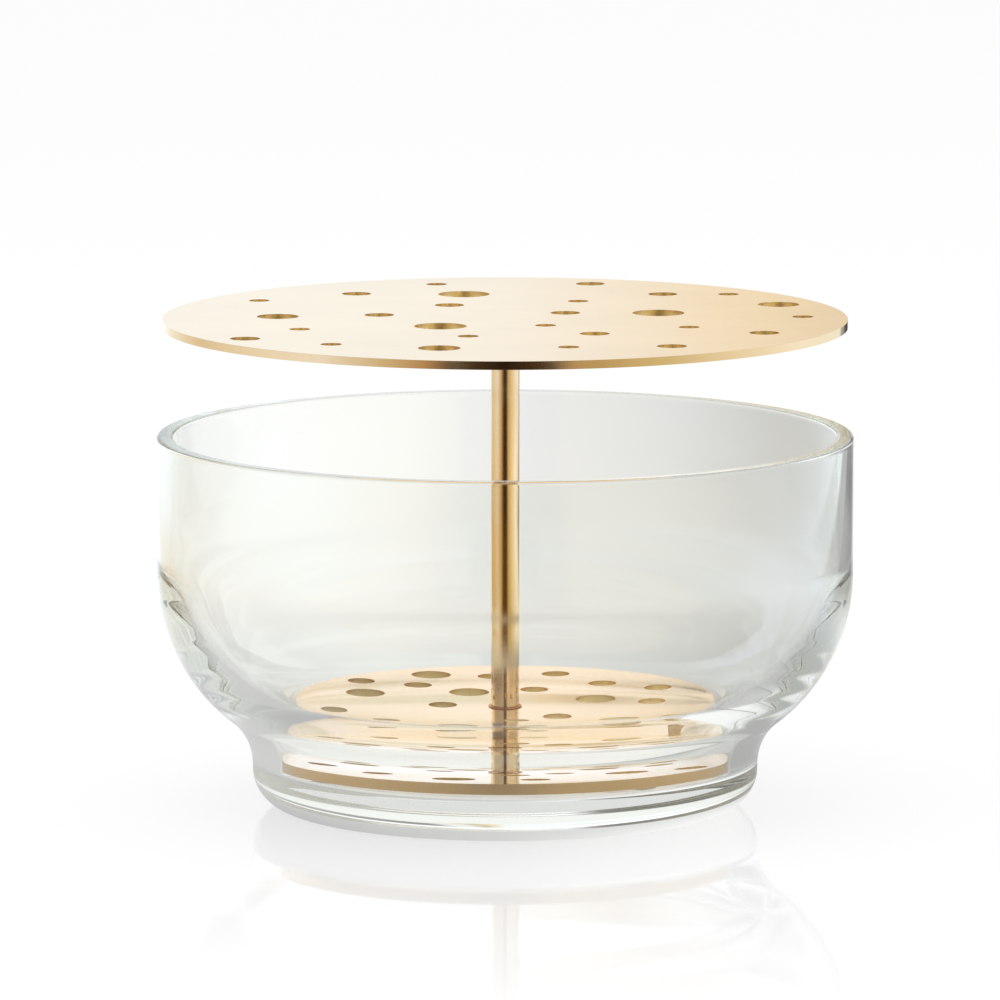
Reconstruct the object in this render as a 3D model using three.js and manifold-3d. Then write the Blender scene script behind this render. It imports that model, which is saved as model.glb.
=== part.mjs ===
// Ikebana vase: a footed glass bowl, and the brass flower holder that stands in it.
// Millimetres, +Z up. The origin is on the table, under the middle of the bowl.

import * as THREE from 'three';
import { mergeVertices } from 'three/addons/utils/BufferGeometryUtils.js';
import Module from 'manifold-3d';

// Glass bowl, outside
const BOWL_RADIUS = 100;
const RIM_HEIGHT = 107.5;
const BOWL_ARC = 52;            // round of the bowl under its straight wall
const NECK_ARC = 18;            // hollow round between the bowl and the foot
const FOOT_HEIGHT = 12;         // level where the neck stands upright
const FOOT_EDGE = 11;           // round of the foot's lower edge

// Glass bowl, inside
const RIM_WALL = 4.8;           // glass at the lip
const BELLY_WALL = 4.2;         // glass where the bowl stands upright
const LIP_ROUND = 0.9;          // broken edges of the flat-cut lip
const NECK_RISE = 0.4;          // inner neck stands upright this far above the outer one
const FOOT_WALL = 8.1;          // glass round the well
const BASE_THICKNESS = 12;
const WELL_CORNER = 2;
const WELL_CLEARANCE = 0.5;     // room round the lower plate

// Inner rounds from the well up: parts of the glass's spread from the well to the belly,
// and the slopes in degrees from upright where each runs into the next
const THROAT_PART = 0.78;       // hollow round above the well
const THROAT_SLOPE = 42.2;
const FLARE_PART = 2.08;        // gentler hollow round
const FLARE_SLOPE = 53.3;       // flattest slope of the inside
const SHOULDER_PART = 0.77;     // round shoulder under the bowl's long round
const SHOULDER_SLOPE = 41.5;

// Brass plates
const UPPER_PLATE_RADIUS = 98.2;
const UPPER_PLATE_THICKNESS = 2.4;
const PLATE_OVER_RIM = 31.2;    // clear height between the rim and the upper plate
const LOWER_PLATE_RADIUS = 64.1;
const LOWER_PLATE_THICKNESS = 3.8;

// Drills for the flower holes, as diameters
const SMALL_DRILL = 6;
const MEDIUM_DRILL = 8.5;
const LARGE_DRILL = 12;
const WIDE_DRILL = 15;

// Stem, the solder spigot at its top and the collar at its foot
const STEM_RADIUS = 4.1;
const SPIGOT_RADIUS = 2.5;
const SOCKET_DEPTH = 1.2;
const COLLAR_WALL = 0.65;
const COLLAR_HEIGHT = 0.4;

// Countersunk screw that holds the stem from below
const SCREW_RADIUS = 2;
const SCREW_LENGTH = 13;
const SCREW_HEAD_RADIUS = 4;
const SCREW_HEAD_HEIGHT = 2.2;
const KEY_RADIUS = 1.45;        // corner radius of the hexagon key hole
const KEY_DEPTH = 1.3;
const THREAD_RUNOUT = 1.5;      // tapped hole past the screw's end

// Clear bumpers under the lower plate
const BUMPER_RADIUS = 4;
const BUMPER_HEIGHT = 2;
const BUMPER_ROUND = 1.2;
const BUMPER_INSET = 8.5;       // bumper's centre from the plate's edge
const BUMPER_BEARINGS = [85, 207, 312];

// Fits
const SEAT_GAP = 0.2;           // between pieces that are stacked
const SIDE_GAP = 0.2;           // round a pin in its hole

// Smoothness
const BIG_SIDES = 64;           // bowl and plates
const SMALL_SIDES = 24;         // stem, collar, screw and bumpers
const HOLE_SIDES = 16;
const KEY_SIDES = 6;
const BOWL_STEPS = 9;           // along each long arc of the glass
const NECK_STEPS = 5;
const SHOULDER_STEPS = 2;
const EDGE_STEPS = 3;           // along each small round

// Flower holes: share of the plate's radius, bearing in degrees from +X towards +Y, drill
const UPPER_HOLES = [
  [0.84, 150, SMALL_DRILL],
  [0.735, 127, MEDIUM_DRILL],
  [0.85, 104, SMALL_DRILL],
  [0.59, 102, WIDE_DRILL],
  [0.35, 118, MEDIUM_DRILL],
  [0.665, 177, LARGE_DRILL],
  [0.375, 169, MEDIUM_DRILL],
  [0.27, 226, WIDE_DRILL],
  [0.65, 204, SMALL_DRILL],
  [0.44, 256, SMALL_DRILL],
  [0.89, 213, MEDIUM_DRILL],
  [0.79, 231, SMALL_DRILL],
  [0.725, 255, LARGE_DRILL],
  [0.875, 73, MEDIUM_DRILL],
  [0.46, 62, SMALL_DRILL],
  [0.745, 51, MEDIUM_DRILL],
  [0.88, 41, SMALL_DRILL],
  [0.87, 22, LARGE_DRILL],
  [0.215, 35, MEDIUM_DRILL],
  [0.465, 15, WIDE_DRILL],
  [0.87, 2, SMALL_DRILL],
  [0.21, 304, SMALL_DRILL],
  [0.575, 338, SMALL_DRILL],
  [0.45, 305, MEDIUM_DRILL],
  [0.825, 335, MEDIUM_DRILL],
  [0.7, 285, SMALL_DRILL],
  [0.81, 306, MEDIUM_DRILL],
];
const LOWER_HOLES = [
  [0.88, 141, MEDIUM_DRILL],
  [0.83, 115, LARGE_DRILL],
  [0.64, 130, MEDIUM_DRILL],
  [0.71, 158, LARGE_DRILL],
  [0.37, 117, LARGE_DRILL],
  [0.73, 95, MEDIUM_DRILL],
  [0.82, 192, MEDIUM_DRILL],
  [0.29, 175, MEDIUM_DRILL],
  [0.82, 73, MEDIUM_DRILL],
  [0.7, 49, MEDIUM_DRILL],
  [0.82, 28, MEDIUM_DRILL],
  [0.42, 71, MEDIUM_DRILL],
  [0.45, 20, LARGE_DRILL],
  [0.69, 5, MEDIUM_DRILL],
  [0.34, 315, MEDIUM_DRILL],
  [0.9, 332, MEDIUM_DRILL],
  [0.37, 277, MEDIUM_DRILL],
  [0.75, 253, LARGE_DRILL],
  [0.75, 280, MEDIUM_DRILL],
  [0.74, 222, MEDIUM_DRILL],
  [0.67, 322, LARGE_DRILL],
];

// Sizes that follow
const LIP_RADIUS = BOWL_RADIUS - RIM_WALL;
const BELLY_RADIUS = BOWL_RADIUS - BELLY_WALL;
const WELL_RADIUS = LOWER_PLATE_RADIUS + WELL_CLEARANCE;
const FOOT_RADIUS = WELL_RADIUS + FOOT_WALL;
const SPREAD = BELLY_RADIUS - WELL_RADIUS;
const THROAT_ARC = SPREAD * THROAT_PART;
const INNER_NECK_LEVEL = FOOT_HEIGHT + NECK_RISE;
const BUMPER_BOTTOM = BASE_THICKNESS + SEAT_GAP;
const LOWER_PLATE_BOTTOM = BUMPER_BOTTOM + BUMPER_HEIGHT + SEAT_GAP;
const STEM_BOTTOM = LOWER_PLATE_BOTTOM + LOWER_PLATE_THICKNESS + SEAT_GAP;
const UPPER_PLATE_BOTTOM = RIM_HEIGHT + PLATE_OVER_RIM;
const STEM_TOP = UPPER_PLATE_BOTTOM - SEAT_GAP;
const THREAD_TOP = LOWER_PLATE_BOTTOM + SCREW_LENGTH + THREAD_RUNOUT;

const HALF_TURN = Math.PI;
const QUARTER_TURN = Math.PI / 2;

const wasm = await Module();
wasm.setup();

const glass = new THREE.MeshStandardMaterial({
  color: 0xe4eae5,
  roughness: 0.03,
  metalness: 0,
  transparent: true,
  opacity: 0.35,
});
const brass = new THREE.MeshStandardMaterial({ color: 0xe3c084, roughness: 0.16, metalness: 1 });
const darkBrass = new THREE.MeshStandardMaterial({ color: 0xb87f3f, roughness: 0.3, metalness: 1 });
const silicone = new THREE.MeshStandardMaterial({ color: 0xe9ebe6, roughness: 0.35, metalness: 0 });

function point(radius, height) {
  return new THREE.Vector2(radius, height);
}

// Points along an arc in the profile plane, both ends included
function arc(centre, radius, from, to, steps) {
  return Array.from({ length: steps + 1 }, (_, i) => {
    const angle = from + ((to - from) * i) / steps;
    return point(centre.x + radius * Math.cos(angle), centre.y + radius * Math.sin(angle));
  });
}

// A profile turned about the upright axis, listed from the axis up the outside and back to the axis
function turned(profile, sides) {
  return new THREE.LatheGeometry(profile, sides).rotateX(QUARTER_TURN);
}

// An upright cylinder with its lower face at a height
function upright(radius, bottom, top, sides) {
  const profile = [point(0, bottom), point(radius, bottom), point(radius, top), point(0, top)];
  return turned(profile, sides);
}

function solid(geometry) {
  const bare = geometry.clone();
  bare.deleteAttribute('normal');
  bare.deleteAttribute('uv');
  const merged = mergeVertices(bare);
  const corners = [];
  const index = merged.index.array;
  for (let i = 0; i < index.length; i += 3) {
    const [a, b, c] = index.slice(i, i + 3);
    if (a !== b && b !== c && c !== a) corners.push(a, b, c);
  }
  return new wasm.Manifold(new wasm.Mesh({
    numProp: 3,
    vertProperties: new Float32Array(merged.attributes.position.array),
    triVerts: new Uint32Array(corners),
  }));
}

function shape(body) {
  const mesh = body.getMesh();
  const geometry = new THREE.BufferGeometry();
  geometry.setAttribute('position', new THREE.BufferAttribute(new Float32Array(mesh.vertProperties), 3));
  geometry.setIndex(new THREE.BufferAttribute(new Uint32Array(mesh.triVerts), 1));
  geometry.computeVertexNormals();
  return geometry;
}

function piece(name, geometry, material) {
  const mesh = new THREE.Mesh(geometry, material);
  mesh.name = name;
  return mesh;
}

// The neck and the bowl as two arcs that run into each other without a corner
function neckAndBowl(neckRadius, neckLevel, neckArc, wallRadius, bowlArc) {
  const neck = point(neckRadius + neckArc, neckLevel);
  const across = neck.x - (wallRadius - bowlArc);
  const rise = Math.sqrt((neckArc + bowlArc) ** 2 - across ** 2);
  const bowl = point(wallRadius - bowlArc, neckLevel + rise);
  return { neck, bowl, meet: Math.atan2(rise, -across) };
}

// Points up an arc from a start, while the slope from upright goes from one angle to another
function slopeArc(start, radius, from, to, steps) {
  const side = Math.sign(to - from) * radius;
  return Array.from({ length: steps }, (_, i) => {
    const slope = from + ((to - from) * (i + 1)) / steps;
    return point(
      start.x + side * (Math.cos(from) - Math.cos(slope)),
      start.y + side * (Math.sin(slope) - Math.sin(from)),
    );
  });
}

// The inside from the well's floor up to the belly
function innerProfile() {
  const [throatSlope, flareSlope, shoulderSlope] = [THROAT_SLOPE, FLARE_SLOPE, SHOULDER_SLOPE].map(
    (slope) => THREE.MathUtils.degToRad(slope),
  );

  // The well's corner rolls on the floor and on the throat
  const cornerLevel = BASE_THICKNESS + WELL_CORNER;
  const cornerRise = INNER_NECK_LEVEL - cornerLevel;
  const cornerReach = Math.sqrt((THROAT_ARC + WELL_CORNER) ** 2 - cornerRise ** 2);
  const corner = point(WELL_RADIUS + THROAT_ARC - cornerReach, cornerLevel);
  const cornerEnd = Math.atan2(cornerRise, cornerReach);

  const profile = [point(0, BASE_THICKNESS)];
  profile.push(...arc(corner, WELL_CORNER, -QUARTER_TURN, cornerEnd, EDGE_STEPS));
  const rise = (radius, from, to, steps) => profile.push(...slopeArc(profile.at(-1), radius, from, to, steps));
  rise(THROAT_ARC, -cornerEnd, throatSlope, NECK_STEPS);
  rise(SPREAD * FLARE_PART, throatSlope, flareSlope, SHOULDER_STEPS);
  rise(SPREAD * SHOULDER_PART, flareSlope, shoulderSlope, SHOULDER_STEPS);
  const bowlArc = (BELLY_RADIUS - profile.at(-1).x) / (1 - Math.cos(shoulderSlope));
  rise(bowlArc, shoulderSlope, 0, BOWL_STEPS);
  return profile;
}

function bowlGeometry() {
  const footEdge = Math.min(FOOT_EDGE, FOOT_HEIGHT);
  const outer = neckAndBowl(FOOT_RADIUS, FOOT_HEIGHT, NECK_ARC, BOWL_RADIUS, BOWL_ARC);
  const lipLevel = RIM_HEIGHT - LIP_ROUND;

  return turned([
    point(0, 0),
    ...arc(point(FOOT_RADIUS - footEdge, footEdge), footEdge, -QUARTER_TURN, 0, NECK_STEPS),
    ...arc(outer.neck, NECK_ARC, HALF_TURN, outer.meet, NECK_STEPS),
    ...arc(outer.bowl, BOWL_ARC, outer.meet - HALF_TURN, 0, BOWL_STEPS).slice(1),
    ...arc(point(BOWL_RADIUS - LIP_ROUND, lipLevel), LIP_ROUND, 0, QUARTER_TURN, EDGE_STEPS),
    ...arc(point(LIP_RADIUS + LIP_ROUND, lipLevel), LIP_ROUND, QUARTER_TURN, HALF_TURN, EDGE_STEPS),
    ...innerProfile().reverse(),
  ], BIG_SIDES);
}

// A drilled disc between two levels
function drilledPlate(radius, bottom, thickness, holes) {
  const top = bottom + thickness;
  let plate = solid(upright(radius, bottom, top, BIG_SIDES));
  for (const [reach, bearing, drill] of holes) {
    const angle = THREE.MathUtils.degToRad(bearing);
    const hole = upright(drill / 2, bottom - thickness, top + thickness, HOLE_SIDES);
    hole.translate(radius * reach * Math.cos(angle), radius * reach * Math.sin(angle), 0);
    plate = plate.subtract(solid(hole));
  }
  return plate;
}

// The upper plate's top stays clean: its socket for the stem is blind
function upperPlateGeometry() {
  const socket = upright(
    SPIGOT_RADIUS + SIDE_GAP,
    UPPER_PLATE_BOTTOM - SOCKET_DEPTH,
    UPPER_PLATE_BOTTOM + SOCKET_DEPTH,
    SMALL_SIDES,
  );
  const plate = drilledPlate(UPPER_PLATE_RADIUS, UPPER_PLATE_BOTTOM, UPPER_PLATE_THICKNESS, UPPER_HOLES);
  return shape(plate.subtract(solid(socket)));
}

// A countersunk screw's outline, grown by a gap for the hole that takes it
function screwProfile(gap) {
  const head = LOWER_PLATE_BOTTOM + SCREW_HEAD_HEIGHT;
  const end = LOWER_PLATE_BOTTOM + SCREW_LENGTH;
  return [
    point(0, LOWER_PLATE_BOTTOM),
    point(SCREW_HEAD_RADIUS + gap, LOWER_PLATE_BOTTOM),
    point(SCREW_RADIUS + gap, head),
    point(SCREW_RADIUS + gap, end),
    point(0, end),
  ];
}

function lowerPlateGeometry() {
  const plate = drilledPlate(LOWER_PLATE_RADIUS, LOWER_PLATE_BOTTOM, LOWER_PLATE_THICKNESS, LOWER_HOLES);
  return shape(plate.subtract(solid(turned(screwProfile(SIDE_GAP), SMALL_SIDES))));
}

function screwGeometry() {
  const key = upright(KEY_RADIUS, LOWER_PLATE_BOTTOM - KEY_DEPTH, LOWER_PLATE_BOTTOM + KEY_DEPTH, KEY_SIDES);
  return shape(solid(turned(screwProfile(0), SMALL_SIDES)).subtract(solid(key)));
}

// The rod, tapped from below, with the spigot that is soldered into the upper plate
function stemGeometry() {
  const spigotTop = UPPER_PLATE_BOTTOM + SOCKET_DEPTH - SEAT_GAP;
  const threadRadius = SCREW_RADIUS + SIDE_GAP;
  return turned([
    point(0, THREAD_TOP),
    point(threadRadius, THREAD_TOP),
    point(threadRadius, STEM_BOTTOM),
    point(STEM_RADIUS, STEM_BOTTOM),
    point(STEM_RADIUS, STEM_TOP),
    point(SPIGOT_RADIUS, STEM_TOP),
    point(SPIGOT_RADIUS, spigotTop),
    point(0, spigotTop),
  ], SMALL_SIDES);
}

function collarGeometry() {
  const inside = STEM_RADIUS + SIDE_GAP;
  const outside = inside + COLLAR_WALL;
  const top = STEM_BOTTOM + COLLAR_HEIGHT;
  return turned([
    point(inside, STEM_BOTTOM),
    point(outside, STEM_BOTTOM),
    point(outside, top),
    point(inside, top),
    point(inside, STEM_BOTTOM),
  ], SMALL_SIDES);
}

function bumperGeometry() {
  const round = Math.min(BUMPER_ROUND, BUMPER_HEIGHT, BUMPER_RADIUS);
  return turned([
    point(0, 0),
    ...arc(point(BUMPER_RADIUS - round, round), round, -QUARTER_TURN, 0, EDGE_STEPS),
    point(BUMPER_RADIUS, BUMPER_HEIGHT),
    point(0, BUMPER_HEIGHT),
  ], SMALL_SIDES);
}

function bumpers() {
  const reach = LOWER_PLATE_RADIUS - BUMPER_INSET;
  return BUMPER_BEARINGS.map((bearing, i) => {
    const angle = THREE.MathUtils.degToRad(bearing);
    const bumper = piece(`bumper_${i + 1}`, bumperGeometry(), silicone);
    bumper.position.set(reach * Math.cos(angle), reach * Math.sin(angle), BUMPER_BOTTOM);
    return bumper;
  });
}

const holder = new THREE.Group();
holder.add(
  piece('upper_plate', upperPlateGeometry(), brass),
  piece('lower_plate', lowerPlateGeometry(), brass),
  piece('stem', stemGeometry(), brass),
  piece('stem_collar', collarGeometry(), darkBrass),
  piece('stem_screw', screwGeometry(), brass),
  ...bumpers(),
);

const vase = new THREE.Group();
vase.add(piece('glass_bowl', bowlGeometry(), glass), holder);

export default vase;
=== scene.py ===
import math

import bmesh
import bpy
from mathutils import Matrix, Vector


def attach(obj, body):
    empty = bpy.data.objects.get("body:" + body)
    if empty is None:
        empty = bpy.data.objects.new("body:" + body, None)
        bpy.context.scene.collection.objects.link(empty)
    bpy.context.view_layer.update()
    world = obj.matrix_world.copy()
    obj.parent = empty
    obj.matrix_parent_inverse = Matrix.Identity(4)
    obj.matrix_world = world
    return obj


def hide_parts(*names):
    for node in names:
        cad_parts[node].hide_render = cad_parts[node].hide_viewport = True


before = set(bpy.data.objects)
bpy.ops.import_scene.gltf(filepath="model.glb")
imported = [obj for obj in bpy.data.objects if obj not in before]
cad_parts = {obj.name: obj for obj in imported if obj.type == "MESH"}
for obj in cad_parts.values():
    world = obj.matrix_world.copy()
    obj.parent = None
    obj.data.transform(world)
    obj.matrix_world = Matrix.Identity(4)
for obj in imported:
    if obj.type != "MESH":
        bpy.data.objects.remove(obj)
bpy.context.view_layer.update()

mm = 0.001
half_turn = math.pi
quarter_turn = math.pi / 2

# Glass bowl
bowl_radius = 100 * mm
rim_height = 107.5 * mm
bowl_arc = 52 * mm
neck_arc = 18 * mm
foot_height = 12 * mm
foot_edge = 11 * mm
foot_radius = 72.7 * mm
belly_radius = 95.8 * mm
lip_radius = 95.2 * mm
lip_round = 0.9 * mm
inner_neck_level = 12.4 * mm
well_radius = 64.6 * mm
well_corner = 2 * mm
well_floor = 12 * mm
spread = belly_radius - well_radius

# Inner rounds of the glass from the well up, and the slopes from upright where each runs into the next
throat_arc = 0.78 * spread
throat_slope = math.radians(42.2)
flare_arc = 2.08 * spread
flare_slope = math.radians(53.3)
shoulder_arc = 0.77 * spread
shoulder_slope = math.radians(41.5)

# Flower holder
upper_radius = 98.2 * mm
upper_bottom = 138.7 * mm
upper_thickness = 2.4 * mm
lower_radius = 64.1 * mm
lower_bottom = 14.4 * mm
lower_thickness = 3.8 * mm
stem_radius = 4.1 * mm
stem_bottom = 18.4 * mm
stem_top = 138.5 * mm
spigot_radius = 2.5 * mm
spigot_top = 139.7 * mm
socket_radius = 2.7 * mm
socket_depth = 1.2 * mm
collar_inside = 4.3 * mm
collar_outside = 4.95 * mm
collar_height = 0.4 * mm
screw_radius = 2 * mm
screw_end = 27.4 * mm
screw_head_radius = 4 * mm
screw_head_height = 2.2 * mm
screw_gap = 0.2 * mm
thread_top = 28.9 * mm
key_radius = 1.45 * mm
key_depth = 1.3 * mm
bumper_radius = 4 * mm
bumper_height = 2 * mm
bumper_round = 1.2 * mm
bumper_bottom = 12.2 * mm
bumper_reach = 55.6 * mm
bumper_bearings = (85, 207, 312)
broken_edge = 0.18 * mm
collar_edge = 0.2 * mm
screw_point = 0.4 * mm

# Rings beside the ends of a straight line, which keep it straight in the shading
hold = 0.6 * mm
stem_hold = 0.5 * mm
fine_hold = 0.2 * mm

# Sides of what is turned or drilled, and steps along the rounds
bowl_sides = 192
plate_sides = 256
hole_sides = 64
stem_sides = 96
collar_sides = 72
small_sides = 48
key_sides = 6
foot_steps, neck_steps, bowl_steps, lip_steps = 24, 24, 48, 6
long_steps, shoulder_steps, flare_steps, throat_steps, corner_steps = 40, 10, 14, 24, 8
collar_steps, bumper_steps = 5, 8

# Edges sharper than these, in degrees, stay creased or are chamfered
creased_over = 20
soft_creased_over = 30
chamfered_over = 40

# Closeness in which points count as one
weld = 0.002 * mm
hair = 0.01 * mm

# A plate's face is a wall where its normal rises less than this, and in this band the wall is the rim
wall_rise = 0.3
rim_band = 0.5 * mm

# Finishes of a plate, in the order in which they are listed
plate_finish, drilled_finish, satin_finish = 0, 1, 2

# Studio
floor_width = 8
camera_place = (0, -2.8813, 0.4972)
camera_aim = (-0.00147, 0, 0.0884)
camera_lens = 364.7
camera_reach = 100
softbox_aim = (0, 0, 0.06)
softbox_power = 6
light_bounces = 64

# Drills for the flower holes, as diameters
small = 6 * mm
medium = 8.5 * mm
large = 12 * mm
wide = 15 * mm

# Flower holes: share of the plate's radius, bearing in degrees, drill
upper_holes = (
    (0.84, 150, small), (0.735, 127, medium), (0.85, 104, small), (0.59, 102, wide), (0.35, 118, medium),
    (0.665, 177, large), (0.375, 169, medium), (0.27, 226, wide), (0.65, 204, small), (0.44, 256, small),
    (0.89, 213, medium), (0.79, 231, small), (0.725, 255, large), (0.875, 73, medium), (0.46, 62, small),
    (0.745, 51, medium), (0.88, 41, small), (0.87, 22, large), (0.215, 35, medium), (0.465, 15, wide),
    (0.87, 2, small), (0.21, 304, small), (0.575, 338, small), (0.45, 305, medium), (0.825, 335, medium),
    (0.7, 285, small), (0.81, 306, medium),
)
lower_holes = (
    (0.88, 141, medium), (0.83, 115, large), (0.64, 130, medium), (0.71, 158, large), (0.37, 117, large),
    (0.73, 95, medium), (0.82, 192, medium), (0.29, 175, medium), (0.82, 73, medium), (0.7, 49, medium),
    (0.82, 28, medium), (0.42, 71, medium), (0.45, 20, large), (0.69, 5, medium), (0.34, 315, medium),
    (0.9, 332, medium), (0.37, 277, medium), (0.75, 253, large), (0.75, 280, medium), (0.74, 222, medium),
    (0.67, 322, large),
)


class Wire:
    """A shader value. Sums, differences, products, quotients and powers of wires add Math nodes."""

    def __init__(self, tree, socket):
        self.tree = tree
        self.socket = socket

    def out(self, name):
        return Wire(self.tree, self.socket.node.outputs[name])

    def math(self, operation, *values):
        return add(self.tree, "Math", {"operation": operation}, dict(enumerate(values)))

    def __add__(self, other):
        return self.math("ADD", self, other)

    def __radd__(self, other):
        return self.math("ADD", other, self)

    def __rsub__(self, other):
        return self.math("SUBTRACT", other, self)

    def __mul__(self, other):
        return self.math("MULTIPLY", self, other)

    def __rmul__(self, other):
        return self.math("MULTIPLY", other, self)

    def __truediv__(self, other):
        return self.math("DIVIDE", self, other)

    def __pow__(self, other):
        return self.math("POWER", self, other)

    def clamped(self):
        return self.math("MINIMUM", self.math("MAXIMUM", self, 0.0), 1.0)

    def rise(self, low, high):
        """0 under low, 1 over high, eased between."""
        return add(self.tree, "MapRange", {"interpolation_type": "SMOOTHSTEP"},
                   {"Value": self, "From Min": low, "From Max": high})


def add(tree, kind, settings=None, sockets=None):
    """One node with its settings and its sockets' values or links, as a wire from its first output."""
    node = tree.nodes.new("ShaderNode" + kind)
    for name, value in (settings or {}).items():
        if name == "stops":
            ramp = node.color_ramp.elements
            while len(ramp) < len(value):
                ramp.new(0.5)
            for stop, (place, colour) in zip(ramp, value):
                stop.position = place
                stop.color = colour
        else:
            setattr(node, name, value)
    for name, value in (sockets or {}).items():
        if isinstance(value, Wire):
            tree.links.new(value.socket, node.inputs[name])
        else:
            node.inputs[name].default_value = value
    return Wire(tree, node.outputs[0] if node.outputs else None)


def new_finish(name):
    material = bpy.data.materials.new(name)
    material.use_nodes = True
    material.node_tree.nodes.clear()
    return material, material.node_tree


def grey(level):
    return (level, level, level, 1.0)


def ramp(tree, value, *stops):
    """A colour by a wire's value. Each stop is a place and a grey level or a colour."""
    colours = [(place, grey(tone) if isinstance(tone, float) else (*tone, 1.0)) for place, tone in stops]
    return add(tree, "ValToRGB", {"stops": colours}, {"Fac": value})


def blend(tree, share, first, second, how="MIX"):
    """Two colours mixed, as a wire."""
    settings = {"data_type": "RGBA", "blend_type": how}
    return add(tree, "Mix", settings, {0: share, 6: first, 7: second}).out(2)


# Modelling steps

def deselect():
    if bpy.context.object and bpy.context.object.mode != "OBJECT":
        bpy.ops.object.mode_set(mode="OBJECT")
    bpy.ops.object.select_all(action="DESELECT")


def named(name):
    piece = bpy.context.object
    piece.name = name
    piece.data.name = name
    return piece


def begin_profile(name, radius, height):
    """A single point in the upright plane through +X, ready to be drawn on."""
    deselect()
    bpy.ops.mesh.primitive_plane_add(size=1 * mm, location=(0, 0, 0))
    piece = named(name)
    bpy.ops.object.mode_set(mode="EDIT")
    bpy.ops.mesh.select_all(action="SELECT")
    bpy.ops.mesh.merge(type="CENTER")
    bpy.ops.mesh.select_all(action="SELECT")
    bpy.ops.transform.translate(value=(radius, 0, height))
    return piece


def pen():
    """Where the drawing of the profile has come to."""
    mesh = bmesh.from_edit_mesh(bpy.context.object.data)
    return next(v.co.copy() for v in mesh.verts if v.select)


def line_to(radius, height, holds=0.0):
    """A straight line, with a ring at that distance from each end that keeps it straight in the shading."""
    start = pen()
    end = Vector((radius, 0, height))
    along = (end - start).normalized()
    stops = [end]
    if holds:
        stops = [start + along * holds, end - along * holds, end]
    here = start
    for stop in stops:
        bpy.ops.mesh.extrude_region_move(TRANSFORM_OT_translate={"value": stop - here})
        here = stop


def bend(centre, angle, steps):
    """An arc from the pen about a centre. A positive angle goes from +X towards +Z."""
    bpy.ops.mesh.spin(steps=steps, angle=angle, center=(centre[0], 0, centre[1]), axis=(0, 1, 0))


def turn(sides):
    """The whole profile turned about the upright axis and closed."""
    bpy.ops.mesh.select_all(action="SELECT")
    bpy.ops.mesh.spin(steps=sides, angle=2 * half_turn, center=(0, 0, 0), axis=(0, 0, 1))
    bpy.ops.mesh.select_all(action="SELECT")
    bpy.ops.mesh.remove_doubles(threshold=weld)
    bpy.ops.mesh.normals_make_consistent(inside=False)
    bpy.ops.object.mode_set(mode="OBJECT")


def break_edges(width, sharper_than):
    """A narrow chamfer on every edge sharper than an angle in degrees."""
    bpy.ops.object.mode_set(mode="EDIT")
    bpy.ops.mesh.select_mode(type="EDGE")
    bpy.ops.mesh.select_all(action="DESELECT")
    bpy.ops.mesh.edges_select_sharp(sharpness=math.radians(sharper_than))
    bpy.ops.mesh.bevel(offset=width, segments=1, affect="EDGES", clamp_overlap=True)
    bpy.ops.mesh.select_mode(type="VERT")
    bpy.ops.mesh.select_all(action="SELECT")
    bpy.ops.mesh.normals_make_consistent(inside=False)
    bpy.ops.object.mode_set(mode="OBJECT")


def smooth_under(angle):
    bpy.ops.object.shade_smooth_by_angle(angle=math.radians(angle))


def neck_and_bowl(neck_radius, neck_level, neck_round, wall_radius, bowl_round):
    """Centres of two arcs that run into each other, and the angle at which they meet."""
    neck = (neck_radius + neck_round, neck_level)
    across = neck[0] - (wall_radius - bowl_round)
    rise = math.sqrt((neck_round + bowl_round) ** 2 - across ** 2)
    bowl = (wall_radius - bowl_round, neck_level + rise)
    return neck, bowl, math.atan2(rise, -across)


def sloped_bend(radius, start, end, steps):
    """An arc down the inside of the glass, from one slope off the upright to another."""
    here = pen()
    side = math.copysign(radius, start - end)
    bend((here.x + side * math.cos(start), here.z - side * math.sin(start)), start - end, steps)


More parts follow.
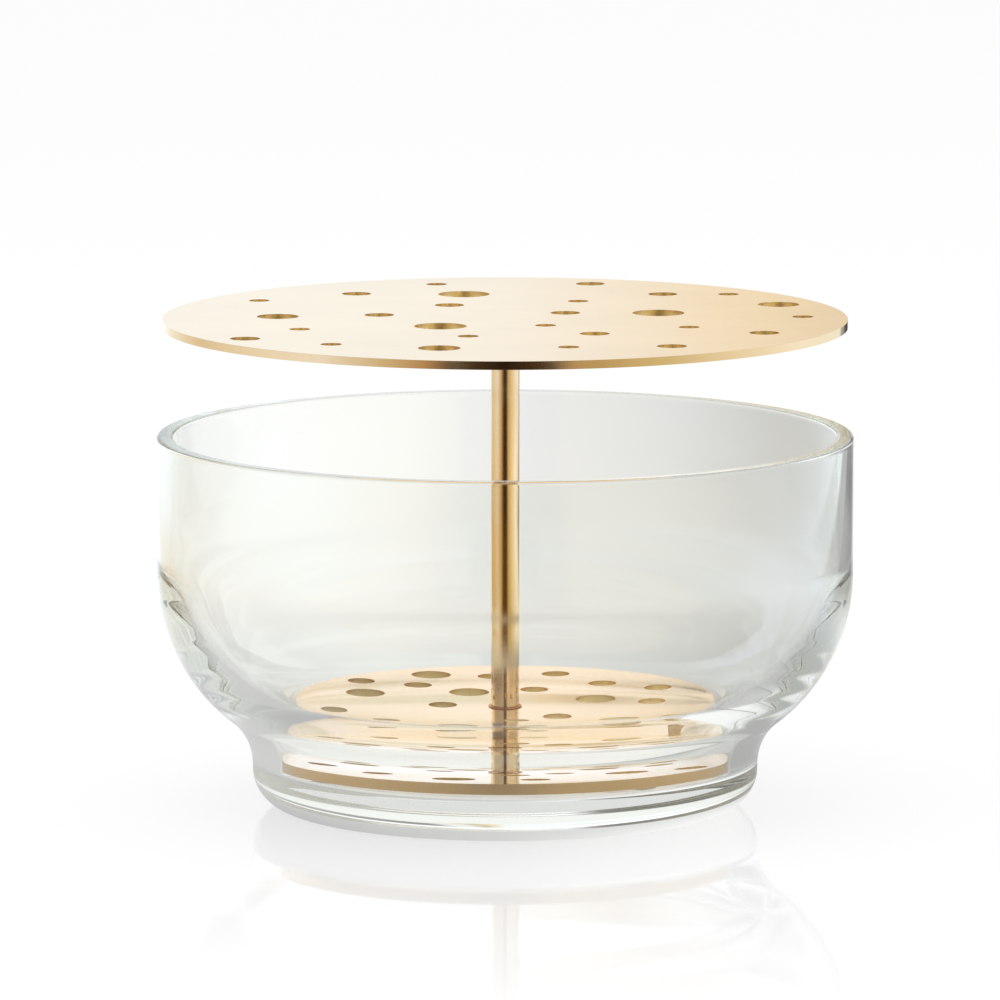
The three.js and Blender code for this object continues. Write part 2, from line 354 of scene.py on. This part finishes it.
def model_bowl():
    piece = begin_profile("blown_glass_bowl", 0, 0)
    outer_neck, outer_bowl, outer_meet = neck_and_bowl(
        foot_radius, foot_height, neck_arc, bowl_radius, bowl_arc)
    corner_level = well_floor + well_corner
    corner_rise = inner_neck_level - corner_level
    corner_reach = math.sqrt((throat_arc + well_corner) ** 2 - corner_rise ** 2)
    corner = (well_radius + throat_arc - corner_reach, corner_level)
    corner_end = math.atan2(corner_rise, corner_reach)
    lip = rim_height - lip_round

    # The bowl's long round takes what the throat, the flare and the shoulder leave
    throat_side = math.cos(throat_slope)
    flare_side = math.cos(flare_slope)
    shoulder_side = math.cos(shoulder_slope)
    shoulder_top = (
        well_radius + throat_arc * (1 - throat_side) + flare_arc * (throat_side - flare_side)
        + shoulder_arc * (shoulder_side - flare_side))
    long_round = (belly_radius - shoulder_top) / (1 - shoulder_side)
    belly_level = (
        inner_neck_level + throat_arc * math.sin(throat_slope)
        + flare_arc * (math.sin(flare_slope) - math.sin(throat_slope))
        + shoulder_arc * (math.sin(flare_slope) - math.sin(shoulder_slope))
        + long_round * math.sin(shoulder_slope))

    line_to(foot_radius - foot_edge, 0, hold)
    bend((foot_radius - foot_edge, foot_edge), quarter_turn, foot_steps)
    line_to(foot_radius, foot_height)
    bend(outer_neck, outer_meet - half_turn, neck_steps)
    bend(outer_bowl, half_turn - outer_meet, bowl_steps)
    line_to(bowl_radius, lip, hold)
    bend((bowl_radius - lip_round, lip), quarter_turn, lip_steps)
    line_to(lip_radius + lip_round, rim_height, fine_hold)
    bend((lip_radius + lip_round, lip), quarter_turn, lip_steps)
    line_to(belly_radius, belly_level, hold)
    sloped_bend(long_round, 0, shoulder_slope, long_steps)
    sloped_bend(shoulder_arc, shoulder_slope, flare_slope, shoulder_steps)
    sloped_bend(flare_arc, flare_slope, throat_slope, flare_steps)
    sloped_bend(throat_arc, throat_slope, -corner_end, throat_steps)
    bend(corner, -quarter_turn - corner_end, corner_steps)
    line_to(0, well_floor, hold)
    turn(bowl_sides)
    bpy.ops.object.shade_smooth()
    return piece


def ring_in_sheet(radius, sides, reach=0.0, bearing=0.0, level=0.0):
    angle = math.radians(bearing)
    place = (reach * math.cos(angle), reach * math.sin(angle), level)
    bpy.ops.mesh.primitive_circle_add(vertices=sides, radius=radius, fill_type="NOTHING", location=place)


def pick(test):
    """Selects the vertices in edit mode whose place passes the test."""
    bpy.ops.mesh.select_all(action="DESELECT")
    mesh = bmesh.from_edit_mesh(bpy.context.object.data)
    for vertex in mesh.verts:
        vertex.select_set(test(vertex.co))
    mesh.select_flush_mode()
    bmesh.update_edit_mesh(bpy.context.object.data)


def drilled_sheet(name, radius, top, holes, middle, depths):
    """A disc of sheet with its flower holes, drawn down in steps and left open in edit mode.
    Where a radius is given, it has a hole in the middle."""
    deselect()
    bpy.ops.mesh.primitive_circle_add(
        vertices=plate_sides, radius=radius, fill_type="NOTHING", location=(0, 0, top))
    piece = named(name)
    bpy.ops.object.transform_apply(location=True, rotation=True, scale=True)
    bpy.ops.object.mode_set(mode="EDIT")
    for reach, bearing, drill in holes:
        ring_in_sheet(drill / 2, hole_sides, radius * reach, bearing, top)
    if middle:
        ring_in_sheet(middle, small_sides, level=top)
    bpy.ops.mesh.select_all(action="SELECT")
    bpy.ops.mesh.fill(use_beauty=False)
    bpy.ops.mesh.select_all(action="SELECT")
    for depth in depths:
        bpy.ops.mesh.extrude_region_move(TRANSFORM_OT_translate={"value": (0, 0, -depth)})
    return piece


def mark_walls(piece, rim_radius, rim_finish):
    """The drilled walls take the drilled finish, and the rim the one given."""
    for face in piece.data.polygons:
        if abs(face.normal.z) < wall_rise:
            across = math.hypot(face.center.x, face.center.y)
            face.material_index = drilled_finish if across < rim_radius - rim_band else rim_finish


def sink(piece, sides, radius, depth, level):
    """Cuts a blind hole up into the piece on the axis, from a level, and leaves the piece selected."""
    deselect()
    bpy.ops.mesh.primitive_cylinder_add(
        vertices=sides, radius=radius, depth=2 * depth, location=(0, 0, level))
    cutter = bpy.context.object
    deselect()
    bpy.context.view_layer.objects.active = piece
    piece.select_set(True)
    cut = piece.modifiers.new("cut", "BOOLEAN")
    cut.operation = "DIFFERENCE"
    cut.solver = "EXACT"
    cut.object = cutter
    bpy.ops.object.modifier_apply(modifier=cut.name)
    bpy.data.objects.remove(cutter)


def close_sheet():
    """Turns the faces of a drilled sheet outwards and leaves edit mode."""
    bpy.ops.mesh.select_all(action="SELECT")
    bpy.ops.mesh.normals_make_consistent(inside=False)
    bpy.ops.object.mode_set(mode="OBJECT")


def model_upper_plate():
    top = upper_bottom + upper_thickness
    piece = drilled_sheet("upper_flower_disc", upper_radius, top, upper_holes, 0, [upper_thickness])
    close_sheet()
    sink(piece, small_sides, socket_radius, socket_depth, upper_bottom)
    break_edges(broken_edge, chamfered_over)
    smooth_under(creased_over)
    return piece


def model_lower_plate():
    top = lower_bottom + lower_thickness
    bore = screw_radius + screw_gap
    piece = drilled_sheet("lower_flower_disc", lower_radius, top, lower_holes, bore,
                          [lower_thickness - screw_head_height, screw_head_height])
    pick(lambda co: math.hypot(co.x, co.y) < bore + hair and co.z < lower_bottom + hair)
    widen = (screw_head_radius + screw_gap) / bore
    bpy.ops.transform.resize(value=(widen, widen, 1), center_override=(0, 0, lower_bottom))
    close_sheet()
    break_edges(broken_edge, chamfered_over)
    smooth_under(creased_over)
    return piece


def model_stem():
    bore = screw_radius + screw_gap
    piece = begin_profile("brass_stem", 0, thread_top)
    line_to(bore, thread_top)
    line_to(bore, stem_bottom)
    line_to(stem_radius - broken_edge, stem_bottom)
    line_to(stem_radius, stem_bottom + broken_edge)
    line_to(stem_radius, stem_top - broken_edge, stem_hold)
    line_to(stem_radius - broken_edge, stem_top)
    line_to(spigot_radius, stem_top)
    line_to(spigot_radius, spigot_top - broken_edge)
    line_to(spigot_radius - broken_edge, spigot_top)
    line_to(0, spigot_top)
    turn(stem_sides)
    smooth_under(creased_over)
    return piece


def model_collar():
    top = stem_bottom + collar_height
    piece = begin_profile("stem_ring", collar_inside, stem_bottom)
    line_to(collar_outside, stem_bottom)
    line_to(collar_outside, top - collar_edge)
    bend((collar_outside - collar_edge, top - collar_edge), quarter_turn, collar_steps)
    line_to(collar_inside, top)
    line_to(collar_inside, stem_bottom)
    turn(collar_sides)
    smooth_under(soft_creased_over)
    return piece


def model_screw():
    head = lower_bottom + screw_head_height
    piece = begin_profile("countersunk_screw", 0, lower_bottom)
    line_to(screw_head_radius - broken_edge, lower_bottom)
    line_to(screw_head_radius, lower_bottom + broken_edge / 2)
    line_to(screw_radius, head)
    line_to(screw_radius, screw_end - screw_point)
    line_to(screw_radius - screw_point, screw_end)
    line_to(0, screw_end)
    turn(small_sides)
    sink(piece, key_sides, key_radius, key_depth, lower_bottom)
    smooth_under(creased_over)
    return piece


def model_bumper(name, bearing):
    angle = math.radians(bearing)
    piece = begin_profile(name, 0, bumper_bottom)
    line_to(bumper_radius - bumper_round, bumper_bottom, fine_hold)
    bend((bumper_radius - bumper_round, bumper_bottom + bumper_round), quarter_turn, bumper_steps)
    line_to(bumper_radius, bumper_bottom + bumper_height)
    line_to(0, bumper_bottom + bumper_height)
    turn(small_sides)
    bpy.ops.object.mode_set(mode="EDIT")
    bpy.ops.mesh.select_all(action="SELECT")
    place = (bumper_reach * math.cos(angle), bumper_reach * math.sin(angle), 0)
    bpy.ops.transform.translate(value=place)
    bpy.ops.object.mode_set(mode="OBJECT")
    smooth_under(soft_creased_over)
    return piece


# Finishes

def object_place(tree):
    return add(tree, "TexCoord").out("Object")


def clear_glass():
    material, tree = new_finish("clear_blown_glass")
    place = object_place(tree)
    slow = add(tree, "TexNoise", {}, {"Vector": place, "Scale": 26.0, "Detail": 1.0, "Roughness": 0.4})
    stretched = add(tree, "Mapping", {}, {"Vector": place, "Scale": (1.0, 1.0, 0.35)})
    drawn = add(tree, "TexNoise", {}, {"Vector": stretched, "Scale": 70.0, "Detail": 2.0, "Roughness": 0.5})
    wave = add(tree, "Bump", {}, {"Strength": 0.04, "Distance": 0.0002, "Height": 0.7 * slow + 0.3 * drawn})
    surface = add(tree, "BsdfPrincipled", {}, {
        "Base Color": (0.985, 0.995, 0.97, 1.0), "Roughness": 0.0, "IOR": 1.5,
        "Transmission Weight": 1.0, "Normal": wave})
    body = add(tree, "VolumeAbsorption", {}, {"Color": (0.6, 0.8, 0.6, 1.0), "Density": 0.8})
    add(tree, "OutputMaterial", {}, {"Surface": surface, "Volume": body})
    return material


def polished_brass(name, shade, least_rough, line_scale, stretch=(0.05, 1.0, 1.0), streaks=0.0, ridges=0.06):
    """Buffed brass: a warm colour that varies a little, fine tool lines and a slow roll of the sheet.
    Streaks is the share of the tool lines in the colour, ridges their share in the relief."""
    material, tree = new_finish(name)
    place = object_place(tree)
    cloud = add(tree, "TexNoise", {}, {"Vector": place, "Scale": 24.0, "Detail": 3.0, "Roughness": 0.55})
    stretched = add(tree, "Mapping", {}, {"Vector": place, "Scale": stretch})
    lines = add(tree, "TexNoise", {}, {"Vector": stretched, "Scale": line_scale, "Detail": 4.0})
    roll = add(tree, "TexNoise", {}, {"Vector": place, "Scale": 11.0, "Detail": 1.0})
    worn = tuple((0.9 - 0.45 * streaks) * c for c in shade)
    colour = ramp(tree, streaks * lines + (1.0 - streaks) * cloud, (0.3, worn), (0.7, shade))
    rough = least_rough + 0.05 * cloud + 0.05 * lines
    bump = add(tree, "Bump", {}, {"Strength": 0.12, "Distance": 0.0003, "Height": roll + ridges * lines})
    surface = add(tree, "BsdfPrincipled", {}, {
        "Base Color": colour, "Metallic": 1.0, "Roughness": rough, "Normal": bump})
    add(tree, "OutputMaterial", {}, {"Surface": surface})
    return material


def clear_silicone():
    material, tree = new_finish("clear_silicone")
    grain = add(tree, "TexNoise", {}, {"Vector": object_place(tree), "Scale": 900.0, "Detail": 2.0})
    bump = add(tree, "Bump", {}, {"Strength": 0.2, "Distance": 0.00005, "Height": grain})
    surface = add(tree, "BsdfPrincipled", {}, {
        "Base Color": (0.93, 0.94, 0.92, 1.0), "Roughness": 0.18 + 0.1 * grain, "IOR": 1.41,
        "Transmission Weight": 0.85, "Normal": bump})
    add(tree, "OutputMaterial", {}, {"Surface": surface})
    return material


# Studio

def tent(tree, across, back):
    """Light of the tent round the vase by bearing: a dark gap towards the viewer, soft boxes at the sides,
    a white sheet behind that turns warm on the right. The wires are the way to the right and to the back."""
    bearing = across.math("ARCTAN2", across, 0.0 - back) / half_turn
    return ramp(
        tree, bearing * 0.5 + 0.5,
        (0.0, (0.99, 1.015, 1.02)), (0.002, (1.01, 1.075, 1.11)), (0.06, (1.06, 1.16, 1.25)),
        (0.167, (0.8, 0.755, 0.64)), (0.328, (0.97, 1.03, 1.15)), (0.392, (0.72, 0.625, 0.457)),
        (0.43, (0.48, 0.3, 0.118)), (0.45, (0.08, 0.045, 0.02)), (0.5, (0.02, 0.01, 0.005)),
        (0.543, (0.08, 0.045, 0.02)), (0.562, (0.49, 0.345, 0.15)), (0.639, (0.72, 0.64, 0.39)),
        (0.728, (0.9, 0.9, 0.83)), (0.814, (1.02, 1.1, 1.22)), (0.9, (0.96, 1.03, 1.04)),
        (0.985, (0.95, 0.96, 0.93)), (0.994, (0.62, 0.46, 0.26)), (0.9958, (0.92, 0.78, 0.54)),
        (0.997, (0.97, 0.94, 0.86)), (0.998, (1.03, 1.0, 0.97)), (1.0, (0.99, 1.015, 1.02)))


def light_studio():
    """Reflections show the walls of the tent. Matt surfaces get an even light, and all else is white."""
    world = bpy.data.worlds.new("light_tent")
    bpy.context.scene.world = world
    world.use_nodes = True
    tree = world.node_tree
    tree.nodes.clear()
    path = add(tree, "LightPath")
    way = add(tree, "SeparateXYZ", {}, {0: add(tree, "TexCoord").out("Generated")})
    deep = way.out("Y")
    up = way.out("Z")
    across = way * 0.5 + 0.5

    # Grey walls, brighter above on the near right, with a dark gap towards the viewer
    near_walls = ramp(tree, across, (0.2, 0.5), (0.8, 0.74))
    far_walls = ramp(tree, across, (0.42, 1.0), (0.58, 0.3), (1.0, 0.5))
    raised = blend(tree, way.rise(0.1, 0.3) * up.rise(0.18, 0.26), near_walls, grey(0.98))
    walls = blend(tree, deep.rise(-0.1, 0.4), raised, far_walls)
    gap = (1.0 - (way * way).rise(0.025, 0.06)) * (0.0 - deep).rise(0.5, 0.8)
    parted = blend(tree, gap, walls, (0.06, 0.03, 0.005, 1.0))
    backed = blend(tree, deep.rise(0.978, 0.99), parted, tent(tree, way, deep))

    # A white sheet behind, brighter and a little blue for what is seen through glass
    sheet = ramp(tree, way * 3.0 + 0.5,
                 (0.1, (1.22, 1.23, 1.38)), (0.5, (1.21, 1.2, 1.3)), (1.0, (1.08, 1.04, 1.04)))
    sheet_foot = 1.0 - up.rise(0.2, 0.32)
    glazed_sheet = blend(tree, sheet_foot, sheet, (1.07, 1.1, 1.18, 1.0), "MULTIPLY")
    glazed = path.out("Transmission Depth").clamped()
    shown_sheet = blend(tree, glazed, grey(0.98), glazed_sheet)
    lower = blend(tree, up.rise(0.132, 0.15) * deep.rise(0.3, 0.6), backed, shown_sheet)

    # A dark hood high on both sides, and a pale roof
    hood = ramp(tree, across, (0.3, 0.15), (0.6, 0.55))
    beside = ((0.0 - way).rise(0.2, 0.35) + way.rise(0.42, 0.52)).clamped()
    higher = blend(tree, up.rise(0.36, 0.44) * beside, lower, hood)
    roofed = blend(tree, up.rise(0.9, 0.97), higher, grey(0.95))

    seen = blend(tree, path.out("Glossy Depth").clamped(), grey(1.0), roofed)
    shine = add(tree, "Background", {}, {"Color": seen, "Strength": 1.0})
    soft = add(tree, "Background", {}, {"Color": grey(0.8), "Strength": 1.0})
    both = add(tree, "MixShader", {}, {0: path.out("Is Diffuse Ray"), 1: shine, 2: soft})
    add(tree, "OutputWorld", {}, {"Surface": both})


def lay_floor():
    """A white floor that shines a little round the foot. Glass and brass see it glow in painted light and
    shade of its own, though it is no lamp.
    """
    deselect()
    bpy.ops.mesh.primitive_plane_add(size=floor_width, location=(0, 0, 0))
    floor = named("studio_floor")
    material, tree = new_finish("white_floor")
    path = add(tree, "LightPath")
    right = add(tree, "SeparateXYZ", {}, {0: object_place(tree)})
    back = right.out("Y")
    away = (right * right + back * back) ** 0.5

    # The floor itself, which keeps the shadow
    lit = add(tree, "BsdfDiffuse", {}, {"Color": grey(0.2)})
    lift = add(tree, "Emission", {}, {"Color": grey(0.805)})
    matt = add(tree, "AddShader", {}, {0: lit, 1: lift})
    gloss = add(tree, "BsdfGlossy", {}, {"Color": grey(1.0), "Roughness": 0.03})
    sheen = 0.24 * (1.0 - away.rise(0.12, 0.38))
    own = add(tree, "MixShader", {}, {0: sheen, 1: matt, 2: gloss})

    # Painted light seen through glass: the floor glows white on the left, grey towards the right
    glazed = ramp(tree, right * 2.0 + 0.5,
                  (0.0, 1.0), (0.42, 1.0), (0.55, 0.88), (0.74, 0.635), (0.85, 0.56), (1.0, 0.5))

    # In reflections the floor glows with painted light and shade: greys of painted shadow under and close to
    # the foot, then the tent's light, warmer low on the left, bluer low on the right and warm close by
    under = ramp(tree, right * 5.0 + 0.5, (0.2, 0.56), (0.5, 0.78), (0.75, 1.2))
    nearby = ramp(tree, right * 5.0 + 0.5, (0.0, 0.74), (0.4, 0.66), (1.0, 0.5))
    left_low = (0.0 - right).rise(0.2, 0.3) * away.rise(0.2, 0.3) * (1.0 - away.rise(0.6, 0.92))
    warmed = blend(tree, left_low, tent(tree, right, back), (0.85, 0.71, 0.54, 1.0), "MULTIPLY")
    right_near = right.rise(0.15, 0.25) * (1.0 - back.rise(0.05, 0.2))
    right_low = right_near * away.rise(0.1, 0.7) * (1.0 - away.rise(0.8, 0.9))
    cooled = blend(tree, right_low, warmed, (1.32, 1.36, 1.6, 1.0), "MULTIPLY")
    bounced = blend(tree, 1.0 - away.rise(0.45, 0.6), cooled, (0.06, 0.035, 0.003, 1.0), "ADD")

    # Far off in front the floor takes the shade of the near walls, except in the gap
    distant = ramp(tree, right * 0.3 + 0.5, (0.2, 0.5), (0.8, 0.74))
    in_front = away.rise(1.2, 1.5) * (1.0 - back.rise(-0.5, 0.0)) * (right * right).rise(0.06, 0.15)
    open_floor = blend(tree, in_front, bounced, distant)
    close = blend(tree, away.rise(0.06, 0.08), under, nearby)
    around = blend(tree, away.rise(0.14, 0.26), close, open_floor)

    # Painted shade for reflections: behind on the right the floor glows grey, nearly black in one place
    behind = right.rise(0.08, 0.16) * (1.0 - right.rise(0.56, 0.6)) * back.rise(0.2, 0.35)
    painted_dark_patch = ramp(tree, right * 1.6, (0.0, 0.72), (0.31, 0.72), (0.37, 0.38), (1.0, 0.42))
    core = back.rise(0.72, 0.88) * right.rise(0.24, 0.3) * (1.0 - right.rise(0.42, 0.5))
    with_painted_dark_patch = blend(tree, behind, around, blend(tree, core, painted_dark_patch, grey(0.08)))

    hue = blend(tree, path.out("Glossy Depth").clamped(), glazed, with_painted_dark_patch)
    # Painted shadow: in reflections the floor glows darker close to the foot
    shade = 0.86 + 0.14 * away.rise(0.08, 0.3)
    painted_foot_shadow = add(tree, "CombineColor", {}, {0: shade, 1: shade, 2: shade})
    shown = add(tree, "Emission", {}, {"Color": blend(tree, 1.0, hue, painted_foot_shadow, "MULTIPLY")})
    through = (path.out("Is Glossy Ray") + path.out("Is Transmission Ray")).clamped()
    whole = add(tree, "MixShader", {}, {0: through, 1: own, 2: shown})
    add(tree, "OutputMaterial", {}, {"Surface": whole})
    floor.data.materials.append(material)


def hang_softbox(name, place, width):
    light = bpy.data.lights.new(name, "AREA")
    light.shape = "RECTANGLE"
    light.size = width
    light.size_y = width
    light.energy = softbox_power
    lamp = bpy.data.objects.new(name, light)
    bpy.context.scene.collection.objects.link(lamp)
    lamp.location = place
    aim = Vector(softbox_aim) - Vector(place)
    lamp.rotation_euler = aim.to_track_quat("-Z", "Y").to_euler()
    lamp.visible_glossy = False
    lamp.visible_transmission = False


def set_camera():
    camera = bpy.data.objects.new("camera", bpy.data.cameras.new("camera"))
    bpy.context.scene.collection.objects.link(camera)
    camera.data.sensor_width = 36
    camera.data.lens = camera_lens
    camera.data.clip_end = camera_reach
    camera.location = camera_place
    aim = Vector(camera_aim) - camera.location
    camera.rotation_euler = aim.to_track_quat("-Z", "Y").to_euler()
    bpy.context.scene.camera = camera


# The vase

brass_shade = (0.95, 0.73, 0.45)
bright_brass = polished_brass("polished_brass", brass_shade, 0.03, 900.0)
drilled_brass = polished_brass("drilled_brass", (1.0, 0.77, 0.36), 0.28, 1500.0, (1.0, 1.0, 0.06), 0.4)
turned_brass = polished_brass("turned_brass", brass_shade, 0.06, 2600.0, (0.02, 0.02, 1.0), 0.0, 0.35)
satin_brass = polished_brass("satin_rim_brass", (0.95, 0.66, 0.33), 0.36, 2600.0, (0.02, 0.02, 1.0), 0.2)
ring_brass = polished_brass("dark_ring_brass", (0.66, 0.32, 0.09), 0.2, 1500.0)
bowl_glass = clear_glass()
pad_silicone = clear_silicone()

bowl = model_bowl()
upper_disc = model_upper_plate()
lower_disc = model_lower_plate()
stem = model_stem()
collar = model_collar()
screw = model_screw()
pads = [model_bumper(f"clear_pad_{i + 1}", bearing) for i, bearing in enumerate(bumper_bearings)]

for piece, body, node, slot, finishes in (
    (bowl, "bowl", "glass_bowl", "glass", [bowl_glass]),
    (upper_disc, "holder", "upper_plate", "brass", [bright_brass, drilled_brass]),
    (lower_disc, "holder", "lower_plate", "brass", [bright_brass, drilled_brass, satin_brass]),
    (stem, "holder", "stem", "brass", [turned_brass]),
    (collar, "collar", "stem_collar", "dark_brass", [ring_brass]),
    (screw, "holder", "stem_screw", "brass", [drilled_brass]),
    *((pad, "holder", f"bumper_{i + 1}", "clear_silicone", [pad_silicone]) for i, pad in enumerate(pads)),
):
    for finish in finishes:
        piece.data.materials.append(finish)
    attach(piece, body)
    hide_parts(node)
mark_walls(upper_disc, upper_radius, plate_finish)
mark_walls(lower_disc, lower_radius, satin_finish)

light_studio()
lay_floor()
hang_softbox("left_softbox", (-0.7, -0.5, 1.5), 1.6)
hang_softbox("top_softbox", (0.1, 0.1, 1.6), 1.2)
set_camera()

scene = bpy.context.scene
scene.view_settings.view_transform = "Standard"
scene.cycles.max_bounces = light_bounces
scene.cycles.transmission_bounces = light_bounces
scene.cycles.glossy_bounces = light_bounces
